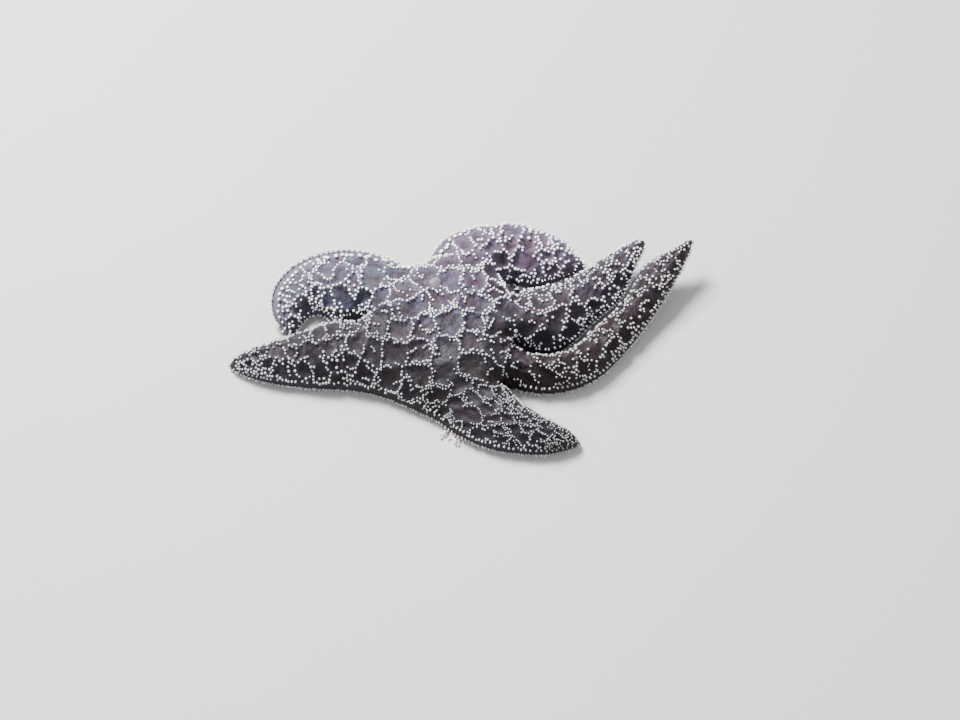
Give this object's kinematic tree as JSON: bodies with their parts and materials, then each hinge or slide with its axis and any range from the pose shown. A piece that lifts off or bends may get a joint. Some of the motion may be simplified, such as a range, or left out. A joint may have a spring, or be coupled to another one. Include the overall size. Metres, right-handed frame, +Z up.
{
  "type": "starfish",
  "caption": "Purple ochre sea star at life size, arms curled and overlapping in a clinging pose, with a net of pale bead-like spines and a flat sole.",
  "frame": {"origin": "on the floor under the middle of the animal's outline", "axes": "+X along the spread of the arms, towards the paired arms at the right, +Y away from the arm with the water line, +Z up from the sole"},
  "size_m": [0.244, 0.139, 0.0328],
  "materials": {
    "skin": "wet leathery purple skin, grey-lilac between plum-brown patches, under pale bead-like spines",
    "skin_red": "wet leathery wine-red skin under pale bead-like spines",
    "sieve_plate": "matt limy plate with fine winding grooves",
    "mouth": "soft moist membrane, buff",
    "eyespot": "soft moist red spot"
  },
  "bodies": {
    "root": {"disc": "skin", "arm_1_inner": "skin", "arm_1_outer": "skin", "arm_2_inner": "skin", "arm_2_outer": "skin", "arm_3_inner": "skin_red", "arm_3_outer": "skin_red", "arm_4_inner": "skin", "arm_4_outer": "skin", "arm_5_inner": "skin", "arm_5_outer": "skin", "arm_6_inner": "skin", "arm_6_outer": "skin", "eyespot_1": "eyespot", "eyespot_2": "eyespot", "eyespot_3": "eyespot", "eyespot_4": "eyespot", "eyespot_5": "eyespot", "eyespot_6": "eyespot", "madreporite": "sieve_plate", "mouth": "mouth"}
  },
  "joints": []
}
